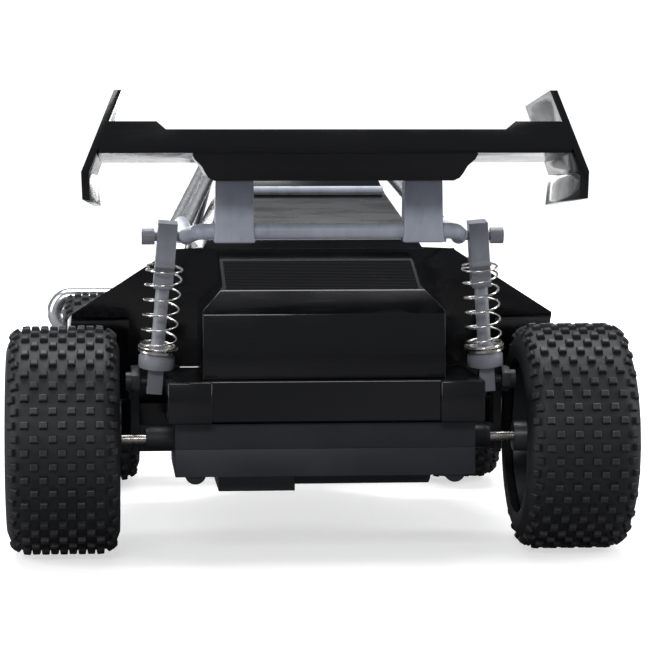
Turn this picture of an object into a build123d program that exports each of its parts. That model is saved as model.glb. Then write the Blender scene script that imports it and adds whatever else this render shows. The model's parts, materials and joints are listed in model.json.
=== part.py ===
"""A 1:14 electric sand buggy: tub chassis, swinging rear drive unit, steered front wheels on sprung arms.

Frame: +X right, +Y forward, +Z up, in millimetres. The origin is on the ground, under the middle of the car.
Left parts have X below 0. Each function builds one piece, or one left piece that `pair` mirrors to the right.
"""
from build123d import *
import math
import os

# ---------------------------------------------------------------- driving dimensions
WHEEL_R = 36.0            # over the tread
REAR_Y = -83.0            # rear axle
FRONT_Y = 97.0            # front axle
REAR_TYRE_X = 80.5        # middle of a rear tyre
REAR_TYRE_W = 34.5
FRONT_TYRE_X = 68.5
FRONT_TYRE_W = 28.0
BEAD_R = 24.5             # where the tyre sits on the rim
AXLE_R = 1.5
RUN = 0.05                # radial clearance of a running fit
GAP = 0.4                 # clearance beside a moving piece
SKIN = 1.6                # thickness of the body mouldings

SWING_Y, SWING_Z = -45.0, 32.0      # hinge of the rear drive unit
PIN_R = 1.5

MODULE = 0.6              # gears
PRESSURE = math.radians(25)
PINION_T, REDUCER_T, SMALL_T, AXLE_GEAR_T = 9, 36, 12, 40
MOTOR_Y, MOTOR_Z = REAR_Y - 15.2, WHEEL_R + 1.5
MOTOR_R = 12.2

SHOCK_TOP = (-48.2, REAR_Y - 19.0, 100.8)   # eye centres of the left rear shock
SHOCK_LOW = (-52.0, REAR_Y - 12.0, 55.5)
SPRING_R, WIRE_R = 5.5, 0.5         # middle of the wire, and the wire itself
ROD_R = 2.1
UPPER_PIN_R = 1.45
LOWER_EYE_R = 1.75                  # loose on its pin of 1.4

ARM_X, ARM_Z = 26.0, 28.0           # hinge of a front arm
KINGPIN_X = 57.0
STEER_ARM = 13.0                    # kingpin to tie bar pin
FRONT_SHOCK_TOP = (-32.0, FRONT_Y + 11.6, 82.0)
FRONT_SHOCK_LOW = (-49.0, FRONT_Y + 11.6, 35.0)

HOOP_Y, HOOP_Z, HOOP_R = REAR_Y - 38.0, 103.0, 2.4   # crossbar that carries the wing
RAIL_X = 42.2                       # side rails of the same hoop
WING_TAIL_Y = REAR_Y - 68.0
BUMPER_Y = 147.5
BUMPER_R = 3.5


# ---------------------------------------------------------------- small helpers
def block(x0, x1, y0, y1, z0, z1):
    return Pos((x0 + x1) / 2, (y0 + y1) / 2, (z0 + z1) / 2) * Box(x1 - x0, y1 - y0, z1 - z0)


def rod_x(r, x0, x1, y, z):
    return Pos((x0 + x1) / 2, y, z) * Rot(0, 90, 0) * Cylinder(r, x1 - x0)


def rod_y(r, y0, y1, x, z):
    return Pos(x, (y0 + y1) / 2, z) * Rot(90, 0, 0) * Cylinder(r, y1 - y0)


def rod_z(r, z0, z1, x, y):
    return Pos(x, y, (z0 + z1) / 2) * Cylinder(r, z1 - z0)


def plate_yz(points, x0, x1):
    """A (y, z) outline, solid from x0 to x1."""
    return Pos(x0, 0, 0) * extrude(Plane.YZ * make_face(Polyline(*points, close=True)), x1 - x0, dir=(1, 0, 0))


def plate_xz(points, y0, y1):
    """An (x, z) outline, solid from y0 to y1."""
    return Pos(0, y0, 0) * extrude(Plane.XZ * make_face(Polyline(*points, close=True)), y1 - y0, dir=(0, 1, 0))


def plate_xy(points, z0, z1):
    """An (x, y) outline, solid from z0 to z1."""
    return Pos(0, 0, z0) * extrude(make_face(Polyline(*points, close=True)), z1 - z0, dir=(0, 0, 1))


def section(y, points):
    """An (x, z) outline as a face in the plane at y, for lofts along the car."""
    return Pos(0, y, 0) * (Plane.XZ * make_face(Polyline(*points, close=True)))


def flip(shape):
    """The same piece on the other side of the car."""
    return mirror(shape, about=Plane.YZ)


def tube(points, radius, bend):
    """A round tube along a bent path. `bend` is one bend radius, or one for each corner."""
    if len(points) == 2:
        path = Line(*points)
    else:
        path = FilletPolyline(*points, radius=bend)
    start = Plane(origin=path @ 0, z_dir=path % 0)
    return sweep(start * Circle(radius), path=path)


def along(start, end):
    """A frame at `start` whose Z points at `end`, and whose X stays as close to the car's X as it can."""
    z = Vector(*end) - Vector(*start)
    y = z.cross(Vector(1, 0, 0))
    return Plane(origin=start, x_dir=y.cross(z), z_dir=z)


def save(name, *shapes):
    """Writes one node. Several shapes become one node of separate solids."""
    solids = [s for shape in shapes for s in shape.solids()]
    part = solids[0] if len(solids) == 1 else Compound(children=solids)
    export_step(part, f"parts/{name}.step")


def save_pair(name, left):
    """Writes NAME_left and its mirror image NAME_right."""
    save(f"{name}_left", left)
    save(f"{name}_right", flip(left))


# ---------------------------------------------------------------- gears
def involute(angle):
    return math.tan(angle) - angle


def gear(teeth, x0, x1, y, z, tooth_at, slack=0.08):
    """A spur gear about an X axis, with one tooth centred on the direction tooth_at (radians from +Y to +Z)."""
    pitch_r = MODULE * teeth / 2
    base_r = pitch_r * math.cos(PRESSURE)
    tip_r, root_r = pitch_r + 0.8 * MODULE, pitch_r - 1.05 * MODULE
    half = math.pi / (2 * teeth) - slack / (2 * pitch_r)

    def half_angle(r):
        if r <= base_r:
            return half + involute(PRESSURE)
        return half + involute(PRESSURE) - involute(math.acos(base_r / r))

    steps = 4
    start_r = max(root_r, base_r)
    flank = [start_r + (tip_r - start_r) * i / steps for i in range(steps + 1)]
    if root_r < base_r:
        flank = [root_r, *flank]
    outline = []
    for tooth in range(teeth):
        middle = tooth_at + 2 * math.pi * tooth / teeth
        rising = [(r, middle - half_angle(r)) for r in flank]
        falling = [(r, middle + half_angle(r)) for r in reversed(flank)]
        outline += [(r * math.cos(a), r * math.sin(a)) for r, a in rising + falling]
    return plate_yz([(y + u, z + v) for u, v in outline], x0, x1)


def reducer_centre():
    """Where both centre distances meet, above the line from the axle to the motor."""
    to_axle = MODULE * (SMALL_T + AXLE_GEAR_T) / 2
    to_motor = MODULE * (PINION_T + REDUCER_T) / 2
    dy, dz = MOTOR_Y - REAR_Y, MOTOR_Z - WHEEL_R
    span = math.hypot(dy, dz)
    along_line = (to_axle**2 - to_motor**2 + span**2) / (2 * span)
    height = math.sqrt(to_axle**2 - along_line**2)
    return (REAR_Y + (along_line * dy + height * dz) / span, WHEEL_R + (along_line * dz - height * dy) / span)


REDUCER_Y, REDUCER_Z = reducer_centre()
AXLE_GEAR_X, PINION_X = (-26.0, -20.0), (-17.0, -12.0)


def direction(y0, z0, y1, z1):
    return math.atan2(z1 - z0, y1 - y0)


def axle_gear():
    toward = direction(REAR_Y, WHEEL_R, REDUCER_Y, REDUCER_Z)
    wheel = gear(AXLE_GEAR_T, *AXLE_GEAR_X, REAR_Y, WHEEL_R, toward)
    hub = rod_x(4.0, AXLE_GEAR_X[0] - 2, AXLE_GEAR_X[1] + 2, REAR_Y, WHEEL_R)
    return wheel + hub - rod_x(AXLE_R, -40, 0, REAR_Y, WHEEL_R)


def reduction_gear():
    to_axle = direction(REDUCER_Y, REDUCER_Z, REAR_Y, WHEEL_R)
    to_motor = direction(REDUCER_Y, REDUCER_Z, MOTOR_Y, MOTOR_Z)
    small = gear(SMALL_T, AXLE_GEAR_X[0], PINION_X[0] - 1.0, REDUCER_Y, REDUCER_Z, to_axle + math.pi / SMALL_T)
    large = gear(REDUCER_T, PINION_X[0] - 1.0, PINION_X[1], REDUCER_Y, REDUCER_Z, to_motor)
    return small + large - rod_x(1.0 + RUN, -40, 0, REDUCER_Y, REDUCER_Z)


def motor_pinion():
    to_reducer = direction(MOTOR_Y, MOTOR_Z, REDUCER_Y, REDUCER_Z)
    pinion = gear(PINION_T, *PINION_X, MOTOR_Y, MOTOR_Z, to_reducer + math.pi / PINION_T)
    return pinion - rod_x(1.0, -20, -8, MOTOR_Y, MOTOR_Z)


# ---------------------------------------------------------------- wheels
def tyre(x_mid, width, y):
    """A hollow ring round the rim, out to the top of the tread blocks."""
    half, shoulder = width / 2, 6.5
    outline = make_face(
        Polyline((-half + 2.5, BEAD_R), (half - 2.5, BEAD_R), (half, BEAD_R + 4.5), (half, WHEEL_R - shoulder))
        + RadiusArc((half, WHEEL_R - shoulder), (half - shoulder, WHEEL_R), -shoulder)
        + Line((half - shoulder, WHEEL_R), (-half + shoulder, WHEEL_R))
        + RadiusArc((-half + shoulder, WHEEL_R), (-half, WHEEL_R - shoulder), -shoulder)
        + Polyline((-half, WHEEL_R - shoulder), (-half, BEAD_R + 4.5), (-half + 2.5, BEAD_R))
    )
    inside = Cylinder(WHEEL_R - 3.6, width - 6.0) - Cylinder(BEAD_R - 1.0, width)
    return Pos(x_mid, y, WHEEL_R) * (revolve(outline, Axis.X) - Rot(0, 90, 0) * inside)


def rim(x_mid, width, y, hub_r, bore_r, hub_in, face_in):
    """A right spoked rim. hub_in and face_in are where the hub and the spoke face start, out from its middle."""
    half = width / 2
    barrel = rod_x(BEAD_R, -half + 2.5, half - 2.5, 0, 0) - rod_x(BEAD_R - 1.8, -half, half, 0, 0)
    face = rod_x(BEAD_R - 1.0, face_in, face_in + 3.0, 0, 0)
    spokes = 6
    window = Pos(face_in + 1.5, 0, 0) * extrude(
        Plane.YZ * make_face(Polyline((9.5, -2.8), (19.6, -7.0), (21.2, 0), (19.6, 7.0), (9.5, 2.8), close=True)), 8, both=True
    )
    for i in range(spokes):
        face -= Rot(360 / spokes * i, 0, 0) * window
    hub = rod_x(hub_r, hub_in, face_in + 5.0, 0, 0)
    wheel = barrel + face + hub - rod_x(bore_r, -half - 20, half + 20, 0, 0)
    return Pos(x_mid, y, WHEEL_R) * wheel


def build_wheels():
    rear_right = rim(REAR_TYRE_X, REAR_TYRE_W, REAR_Y, 4.8, AXLE_R, 62.3 - REAR_TYRE_X, 8.0)
    front_right = rim(FRONT_TYRE_X, FRONT_TYRE_W, FRONT_Y, 4.0, AXLE_R + RUN, 65.0 - FRONT_TYRE_X, 5.0)
    for side, sign in (("left", -1), ("right", 1)):
        save(f"rear_tyre_{side}", tyre(sign * REAR_TYRE_X, REAR_TYRE_W, REAR_Y))
        save(f"front_tyre_{side}", tyre(sign * FRONT_TYRE_X, FRONT_TYRE_W, FRONT_Y))
        save(f"rear_rim_{side}", rear_right if sign > 0 else flip(rear_right))
        save(f"front_rim_{side}", front_right if sign > 0 else flip(front_right))


def hex_nut(x0, x1, y, z, across=5.5):
    corner = across / 2 / math.cos(math.pi / 6)
    points = [(y + corner * math.cos(math.pi / 3 * i), z + corner * math.sin(math.pi / 3 * i)) for i in range(6)]
    return plate_yz(points, x0, x1)


# ---------------------------------------------------------------- rear drive unit
CASE_X, CASE_BACK, CASE_FRONT = 46.2, REAR_Y - 29.5, REAR_Y + 18.0
CASE_LOW, CASE_TOP, CASE_SPLIT = 27.5, 43.8, WHEEL_R
WALL = 1.4
GEARS_X = (-31.0, -9.0)
MOTOR_BAY_X = (-9.0, 33.0)


def case_outside():
    box = block(-CASE_X, CASE_X, CASE_BACK, CASE_FRONT, CASE_LOW, CASE_TOP)
    box += block(GEARS_X[0] - 1.6, GEARS_X[1], REAR_Y - 21.5, REAR_Y + 10, 22.0, 30.0)
    motor_bulge = rod_x(MOTOR_R + 0.5 + WALL, *MOTOR_BAY_X, MOTOR_Y, MOTOR_Z)
    axle_bulge = rod_x(14.2, *GEARS_X, REAR_Y, WHEEL_R)
    reducer_bulge = rod_x(13.2, *GEARS_X, REDUCER_Y, REDUCER_Z)
    bosses = [rod_y(3.3, CASE_BACK + 1.0, CASE_BACK + 9.0, x, 28.4) & block(-60, 60, -150, 0, 20, CASE_LOW + 0.2)
              for x in (-40.0, 40.0)]
    tubes = rod_x(3.8, -53.6, -45.0, REAR_Y, WHEEL_R) + rod_x(3.8, 45.0, 53.6, REAR_Y, WHEEL_R)
    motor_bulge &= block(*MOTOR_BAY_X, CASE_BACK, CASE_FRONT, 0, 99)
    return box + motor_bulge + axle_bulge + reducer_bulge + bosses + tubes


def case_inside():
    """Three rooms side by side: left end, gears and motor, right end."""
    back, front = CASE_BACK + WALL, CASE_FRONT - WALL
    low, top = CASE_LOW + WALL, CASE_TOP - WALL
    first, last = GEARS_X[0] + WALL, MOTOR_BAY_X[1] - WALL
    rooms = block(-CASE_X + WALL, GEARS_X[0], back, front, low, top)
    rooms += block(first, last, back, front, low, top)
    rooms += block(MOTOR_BAY_X[1], CASE_X - WALL, back, front, low, top)
    rooms += rod_x(MOTOR_R + 0.3, MOTOR_BAY_X[0] + 0.8, last, MOTOR_Y, MOTOR_Z)
    rooms += rod_x(14.2 - WALL, first, GEARS_X[1] - WALL, REAR_Y, WHEEL_R)
    rooms += rod_x(13.2 - WALL, first, GEARS_X[1] - WALL, REDUCER_Y, REDUCER_Z)
    return rooms


def case_bores():
    return (rod_x(2.6, -60, 60, REAR_Y, WHEEL_R) + rod_x(3.6, -11, -8, MOTOR_Y, MOTOR_Z)
            + rod_x(1.0, GEARS_X[0], GEARS_X[1], REDUCER_Y, REDUCER_Z))


def swing_arms():
    """Two arms from the front of the case to the hinge on the chassis."""
    outline = [(CASE_FRONT - 1, 41), (CASE_FRONT - 1, 29), (SWING_Y, 28.2), (SWING_Y + 3, 30), (SWING_Y + 3.4, 33),
               (SWING_Y, 35.8)]
    arms = plate_yz(outline, -35.6, -28.4) + plate_yz(outline, 28.4, 35.6)
    return arms - rod_x(PIN_R + RUN, -40, 40, SWING_Y, SWING_Z)


def shock_bracket():
    """Left beam in front of the axle, with an upright finger that carries the lower shock pin."""
    outline = [(REAR_Y + 4, 30.5), (REAR_Y + 12, 30.5), (REAR_Y + 12, 58.5), (REAR_Y - 12, 59.3),
               (REAR_Y - 15.5, 57.5), (REAR_Y - 15.5, 53.5), (REAR_Y - 12, 51.6), (REAR_Y + 4, 50.5)]
    finger = plate_yz(outline, -59.2, -56.6) + block(-57.0, -CASE_X + 0.5, REAR_Y + 5, REAR_Y + 11, 31.5, 39.5)
    _, y, z = SHOCK_LOW
    return finger - rod_x(1.4, -60, -56, y, z)


def build_gearbox():
    bracket = shock_bracket()
    case = case_outside() + swing_arms() + bracket + flip(bracket) - case_inside() - case_bores()
    lid_room = block(-CASE_X, CASE_X, CASE_BACK - 9, CASE_FRONT, CASE_SPLIT, 99)
    save("gearbox_base", case - lid_room)
    save("gearbox_lid", case & lid_room)


def axle_bush():
    """Left bush in the end of the axle tube, with a flange outside it."""
    bush = rod_x(2.6, -53.7, -46.0, REAR_Y, WHEEL_R) + rod_x(3.6, -54.6, -53.6, REAR_Y, WHEEL_R)
    return bush - rod_x(AXLE_R + RUN, -60, -40, REAR_Y, WHEEL_R)


def lower_shock_pin():
    """Left lower shock pin, with a thick round head outside the finger."""
    _, y, z = SHOCK_LOW
    return rod_x(1.4, -59.3, -49.2, y, z) + rod_x(2.9, -61.0, -59.2, y, z)


def motor_can():
    can = rod_x(MOTOR_R, -8, 25, MOTOR_Y, MOTOR_Z) - rod_x(MOTOR_R - 1.0, -7, 26, MOTOR_Y, MOTOR_Z)
    return can + rod_x(3.2, -10.2, -7.5, MOTOR_Y, MOTOR_Z) - rod_x(1.6, -12, -6, MOTOR_Y, MOTOR_Z)


def motor_end_bell():
    bell = rod_x(MOTOR_R - 0.2, 25, 27.5, MOTOR_Y, MOTOR_Z) + rod_x(4.0, 27.4, 30.5, MOTOR_Y, MOTOR_Z)
    for y in (MOTOR_Y - 8, MOTOR_Y + 6.6):
        bell += block(26, 29.5, y, y + 1.4, MOTOR_Z - 2, MOTOR_Z + 2)
    return bell - rod_x(1.0 + RUN, 20, 28.5, MOTOR_Y, MOTOR_Z)


def build_rear_unit():
    build_gearbox()
    bush, pin = axle_bush(), lower_shock_pin()
    save("axle_bushes", bush, flip(bush))
    save("gearbox_pins", pin, flip(pin), rod_x(1.0, *GEARS_X, REDUCER_Y, REDUCER_Z))
    save("motor_can", motor_can())
    save("motor_end_bell", motor_end_bell())
    save("motor_rotor", rod_x(1.0, -17, 28, MOTOR_Y, MOTOR_Z) + rod_x(MOTOR_R - 2.6, -4, 20, MOTOR_Y, MOTOR_Z))
    save("motor_pinion", motor_pinion())
    save("reduction_gear", reduction_gear())
    save("axle_gear", axle_gear())
    save("rear_axle", rod_x(AXLE_R, -96.2, 96.2, REAR_Y, WHEEL_R))
    nut = hex_nut(-96.0, -93.5, REAR_Y, WHEEL_R) - rod_x(AXLE_R, -99, -90, REAR_Y, WHEEL_R)
    save("rear_axle_nuts", nut, flip(nut))


# ---------------------------------------------------------------- rear shocks
def shock_frame():
    return along(SHOCK_TOP, SHOCK_LOW)


SHOCK_LENGTH = (Vector(*SHOCK_LOW) - Vector(*SHOCK_TOP)).length


def shock_body():
    """Left upper half: a flat bar with an eye, a flange for the spring and a bore for the rod. Z runs down it."""
    bar = Pos(0, 0, 5.75) * Box(6.0, 6.0, 20.5)
    bar += Pos(0, 0, 8.2) * Box(6.0, 11.6, 1.2)
    bar -= Pos(0, 0, 10.2) * Cylinder(ROD_R + RUN, 13.6)
    _, y, z = SHOCK_TOP
    return shock_frame().location * bar - rod_x(UPPER_PIN_R + RUN, -60, -40, y, z)


def shock_rod():
    """Left lower half: the rod, the stepped spring collar and the lower eye."""
    end = SHOCK_LENGTH
    rod = Pos(0, 0, (10.6 + end) / 2) * Cylinder(ROD_R, end - 10.6)
    rod += Pos(0, 0, end - 9.3) * Cylinder(5.2, 3.4)
    rod += Pos(0, 0, end - 6.3) * Cylinder(5.6, 3.4)
    rod += Pos(0, 0, end - 0.6) * Box(4.8, 5.6, 8.2)
    _, y, z = SHOCK_LOW
    return shock_frame().location * rod - rod_x(LOWER_EYE_R, -60, -40, y, z)


def coil(frame, start, end, turns):
    """A spring about the frame's Z axis. Its wire touches both seats."""
    height = end - start - 2 * WIRE_R
    path = Helix(pitch=height / turns, height=height, radius=SPRING_R)
    wire = Plane(origin=path @ 0, z_dir=path % 0) * Circle(WIRE_R)
    spring = sweep(wire, path=path, is_frenet=True)
    return frame.location * (Pos(0, 0, start + WIRE_R) * spring)


def upper_shock_pin():
    """Left pin from the rail through the upper eye, with a round head outside."""
    _, y, z = SHOCK_TOP
    return rod_x(UPPER_PIN_R, -52.2, -RAIL_X, y, z) + rod_x(2.5, -56.0, -52.0, y, z)


# ---------------------------------------------------------------- chassis
TUB_LOW, TUB_TOP = 20.0, 44.0
LEVER_Y = FRONT_Y - 30.0            # steering servo
TIE_Y = FRONT_Y - STEER_ARM
TOWER_Y = FRONT_Y + 18.6
CELL_R, CELL_PITCH, CELL_START = 7.0, 14.1, -22.0
SWITCH_Y = -36.0


def tub_outline(inset):
    right = [(40 - inset, -40 + inset), (40 - inset, 44 - inset * 0.4), (22 - inset, 66 - inset * 0.4),
             (22 - inset, 127 - inset)]
    return right + [(-x, y) for x, y in reversed(right)]


def swing_lugs():
    outline = [(-39, 26), (-39, 38), (SWING_Y, 36), (SWING_Y - 3.6, 33.5), (SWING_Y - 3.6, 30.5), (SWING_Y, 28)]
    lugs = [plate_yz(outline, x, x + 3.8) for x in (-39.8, -28.0, 24.2, 36.0)]
    return [lug - rod_x(PIN_R, -41, 41, SWING_Y, SWING_Z) for lug in lugs]


def arm_lugs():
    lugs = [block(x, x + 8, FRONT_Y + y, FRONT_Y + y + 4, 24.5, 31.5) for x in (-29.0, 21.0) for y in (-16, 12)]
    return [lug - rod_y(1.0, 0, 200, -ARM_X, ARM_Z) - rod_y(1.0, 0, 200, ARM_X, ARM_Z) for lug in lugs]


def chassis_tub():
    tub = plate_xy(tub_outline(0), TUB_LOW, TUB_TOP) - plate_xy(tub_outline(2.0), TUB_LOW + 2.0, TUB_TOP + 1)
    tub += block(-38.5, 38.5, -38.5, 43.0, 34.4, 36.0)
    tub += [rod_z(2.0, 35.8, 38.0, x, y) for x in (-14, 14) for y in (0, 34)]
    tub += swing_lugs()
    tub += arm_lugs()
    tub -= block(-26.0, 26.0, -29.8, 42.0, TUB_LOW - 1, TUB_LOW + 3)
    return tub - block(-5.4, 3.4, SWITCH_Y - 1.6, SWITCH_Y + 1.6, TUB_LOW - 1, TUB_LOW + 3)


def battery_cells():
    middles = [CELL_START + CELL_PITCH * i for i in range(5)]
    height = TUB_LOW + CELL_R
    return [rod_x(CELL_R, -24.6, 24.4, y, height) + rod_x(2.6, 24.3, 25.6, y, height) for y in middles]


def receiver_board():
    board = block(-17, 17, -4, 38, 38.0, 39.6)
    board += block(-12, -4, 4, 12, 39.5, 41.4) + block(2, 12, 20, 27, 39.5, 42.0)
    return board + rod_z(2.2, 39.5, 43.5, 9, 8) + rod_z(2.2, 39.5, 43.5, -10, 30)


def power_button():
    """Slides 4 mm along its slot in the floor. The flange stays inside."""
    return block(-5.0, -1.0, SWITCH_Y - 1.2, SWITCH_Y + 1.2, 18.8, 22.5) + block(-6.4, 0.4, -37.6, -34.2, 22.4, 23.6)


def swing_pin():
    return rod_x(PIN_R, -40.2, -24.2, SWING_Y, SWING_Z) + rod_x(2.6, -41.0, -39.8, SWING_Y, SWING_Z)


def front_shock_tower():
    right = [(20, 22), (20, 44), (22, 44), (24, 66), (37, 77), (37, 86), (27, 87), (20, 80)]
    outline = right + [(-x, z) for x, z in reversed(right)]
    tower = plate_xz(outline, TOWER_Y, TOWER_Y + 3.0) - block(-12, 12, 0, 200, 54, 72)
    x, _, z = FRONT_SHOCK_TOP
    return tower - rod_y(1.4, 0, 200, x, z) - rod_y(1.4, 0, 200, -x, z)


def front_shock_bolt():
    """Left bolt through the tower, a spacer and the top of the front shock."""
    x, y, z = FRONT_SHOCK_TOP
    bolt = rod_y(1.4, y - 5.4, TOWER_Y + 4.4, x, z) + rod_y(2.6, y - 6.4, y - 4.0, x, z)
    return bolt + rod_y(2.4, y + 4.0, TOWER_Y, x, z) + rod_y(2.6, TOWER_Y + 3.0, TOWER_Y + 5.0, x, z)


def front_shock_frame():
    z = Vector(*FRONT_SHOCK_LOW) - Vector(*FRONT_SHOCK_TOP)
    return Plane(origin=FRONT_SHOCK_TOP, x_dir=Vector(0, 1, 0), z_dir=z)


FRONT_SHOCK_LENGTH = (Vector(*FRONT_SHOCK_LOW) - Vector(*FRONT_SHOCK_TOP)).length


def front_shock_body():
    body = Box(8.0, 7.2, 8.0) + Pos(0, 0, 13.0) * Cylinder(3.6, 20.0) + Pos(0, 0, 8.0) * Cylinder(5.9, 1.4)
    body -= Rot(0, 90, 0) * Cylinder(1.4, 20)
    body -= Pos(0, 0, 14.0) * Cylinder(ROD_R + RUN, 19.0)
    return front_shock_frame().location * body


def front_shock_rod():
    end = FRONT_SHOCK_LENGTH
    rod = Pos(0, 0, (12.0 + end) / 2) * Cylinder(ROD_R, end - 12.0)
    rod += Pos(0, 0, end - 7.4) * Cylinder(5.9, 2.0)
    rod += Pos(0, 0, end - 1.2) * Box(4.4, 5.2, 8.0)
    rod -= Pos(0, 0, end) * (Rot(0, 90, 0) * Cylinder(LOWER_EYE_R, 20))
    return front_shock_frame().location * rod


# ---------------------------------------------------------------- front suspension and steering
def front_arm():
    """Left lower arm with the C shaped carrier for the kingpin."""
    outline = [(-ARM_X, FRONT_Y - 11.6), (-KINGPIN_X, FRONT_Y - 5.0), (-KINGPIN_X - 4.5, FRONT_Y - 2.5),
               (-KINGPIN_X - 4.5, FRONT_Y + 2.5), (-KINGPIN_X, FRONT_Y + 5.0), (-ARM_X, FRONT_Y + 11.6)]
    window = [(-32, FRONT_Y - 6.5), (-45, FRONT_Y - 3.6), (-45, FRONT_Y + 3.6), (-32, FRONT_Y + 6.5)]
    roof = [(-49.0, FRONT_Y - 5.0), (-KINGPIN_X, FRONT_Y - 4.5), (-KINGPIN_X - 4.0, FRONT_Y - 2.5),
            (-KINGPIN_X - 4.0, FRONT_Y + 2.5), (-KINGPIN_X, FRONT_Y + 4.5), (-49.0, FRONT_Y + 5.0)]
    arm = plate_xy(outline, 25.5, 29.6) - plate_xy(window, 20, 40)
    arm += rod_y(3.0, FRONT_Y - 11.6, FRONT_Y + 11.6, -ARM_X, ARM_Z)
    arm += block(-51.8, -49.0, FRONT_Y - 5.0, FRONT_Y + 5.0, 29, 47) + plate_xy(roof, 42.6, 47)
    x, y, z = FRONT_SHOCK_LOW
    arm += block(x - 4, x + 4, y - 7.0, y - 3.4, 25.5, z + 3.6)
    arm -= rod_y(1.0 + RUN, FRONT_Y - 20, FRONT_Y + 20, -ARM_X, ARM_Z)
    arm -= rod_z(1.0, 20, 50, -KINGPIN_X, FRONT_Y)
    return arm - rod_y(1.4, y - 7.2, y - 3.0, x, z)


def front_arm_pins():
    """Left kingpin, and the bolt for the lower eye of the shock."""
    kingpin = rod_z(1.0, 25.5, 47.0, -KINGPIN_X, FRONT_Y) + rod_z(1.8, 47.0, 48.2, -KINGPIN_X, FRONT_Y)
    x, y, z = FRONT_SHOCK_LOW
    return kingpin, rod_y(1.4, y - 7.0, y + 3.4, x, z) + rod_y(2.8, y + 3.2, y + 5.0, x, z)


def knuckle():
    """Left steering knuckle: barrel, axle boss, stub axle, and an arm back to the tie bar."""
    body = rod_z(4.0, 30.0, 42.2, -KINGPIN_X, FRONT_Y) + rod_x(3.4, -64.4, -KINGPIN_X, FRONT_Y, WHEEL_R)
    body += block(-KINGPIN_X - 2.4, -KINGPIN_X + 2.4, TIE_Y - 2.4, FRONT_Y, 36.8, 40.4)
    body += rod_z(1.0, 40.0, 49.2, -KINGPIN_X, TIE_Y)
    return body - rod_z(1.0 + RUN, 20, 60, -KINGPIN_X, FRONT_Y) - rod_x(AXLE_R, -70, -61.5, FRONT_Y, WHEEL_R)


def stub_axle():
    return rod_x(AXLE_R, -79.0, -61.5, FRONT_Y, WHEEL_R) + rod_x(2.9, -80.8, -79.0, FRONT_Y, WHEEL_R)


def tie_bar():
    """Bar across the car, with a slot for each knuckle pin and one for the servo lever."""
    bar = block(-61, 61, TIE_Y - 2.4, TIE_Y + 3.6, 45.8, 47.6)
    slot = block(-KINGPIN_X - 1.4, -KINGPIN_X + 3.6, TIE_Y - 1.4, TIE_Y + 2.4, 40, 50)
    return bar - slot - flip(slot) - block(-1.5, 1.5, TIE_Y - 2.1, TIE_Y + 1.6, 40, 50)


def steering_lever():
    lever = block(-2.2, 2.2, LEVER_Y, TIE_Y + 1.5, 48.4, 50.6) + rod_z(4.0, 46.0, 50.6, 0, LEVER_Y)
    return lever + rod_z(1.1, 45.4, 48.6, 0, TIE_Y) + rod_z(1.5, 40.5, 46.2, 0, LEVER_Y)


def servo():
    case = block(-10, 10, LEVER_Y - 12, LEVER_Y + 8, 22.0, 42.5) + rod_z(5.2, 42.4, 45.4, 0, LEVER_Y)
    return case - rod_z(1.5 + RUN, 40, 50, 0, LEVER_Y)


# ---------------------------------------------------------------- body mouldings
ARCH_Y, ARCH_Z, ARCH_R = REAR_Y + 0.5, 38.6, 39.8     # clears a rear wheel through its travel


def prism(side_view, front_view):
    """The solid with these (y, z) and (x, z) outlines."""
    return plate_yz(side_view, -60, 60) & plate_xz(front_view, -200, 200)


def cover_side(inset):
    return [(REAR_Y - 26 + inset, 50), (REAR_Y - 26 + inset, 57), (REAR_Y - 24 + inset, 77),
            (REAR_Y - 18 + inset * 0.6, 84 - inset * 0.6), (REAR_Y + 6, 92 - inset),
            (REAR_Y + 20 - inset, 94 - inset), (REAR_Y + 20 - inset, 50)]


def cover_front(inset):
    right = [(37.5 - inset, 40), (37.5 - inset, 78 - inset * 0.4), (31 - inset * 0.6, 85 - inset * 0.6),
             (31 - inset * 0.6, 99)]
    return right + [(-x, z) for x, z in reversed(right)]


def rear_cover():
    cover = prism(cover_side(0), cover_front(0)) - prism(cover_side(SKIN), cover_front(SKIN))
    return cover - block(-99, 99, -200, 0, 0, 57.0)


def rear_bumper():
    """Shroud over the drive unit, with a column at each corner."""
    back = REAR_Y - 32.0
    shroud = block(-48.5, 48.5, back, REAR_Y + 20, 44.4, 57.0)
    shroud += block(-48.5, -35.0, back - 3.0, back + 1, 44.4, 57.0) + block(35.0, 48.5, back - 3.0, back + 1, 44.4, 57.0)
    shroud -= block(-47.3, 47.3, back + SKIN, REAR_Y + 21, 40, 55.4)
    shroud -= block(-35.8, 35.8, REAR_Y - 24.4, REAR_Y + 18.4, 50, 60)
    return shroud - block(-60, 60, REAR_Y - 10, REAR_Y + 21, 40, 49.5)


def pod_sections(inset, inner_x):
    """Outlines of the left side pod, from the haunch over the rear wheel to behind the front wheel."""
    i = inset
    return [
        section(-63 + i, [(inner_x, 95.6 - i), (-45.4, 95.2 - i), (-78 + i, 74.3 - i), (-78 + i, 58 + i), (inner_x, 58 + i)]),
        section(-42, [(inner_x, 95 - i), (-46, 93 - i), (-79.5 + i, 71 - i), (-79.5 + i, 44 + i), (inner_x, 44 + i)]),
        section(-8, [(inner_x, 80 - i), (-46, 77 - i), (-79.5 + i, 58 - i), (-77 + i, 34 + i), (inner_x, 34 + i)]),
        section(46 - i, [(inner_x, 76 - i), (-42, 73 - i), (-70 + i, 54 - i), (-66 + i, 38 + i), (inner_x, 38 + i)]),
    ]


def side_pod():
    arch = rod_x(ARCH_R, -120, -59.5, ARCH_Y, ARCH_Z)
    liner = rod_x(ARCH_R + SKIN, -120, -59.5 + SKIN, ARCH_Y, ARCH_Z)
    pod = loft(pod_sections(0, -36), ruled=True) - arch
    pod -= loft(pod_sections(SKIN, -30), ruled=True) - liner
    pod -= block(-40, -30, -60, 60, 0, 60)
    return pod - block(-44, -30, -64, -38, 0, 58)


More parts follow.
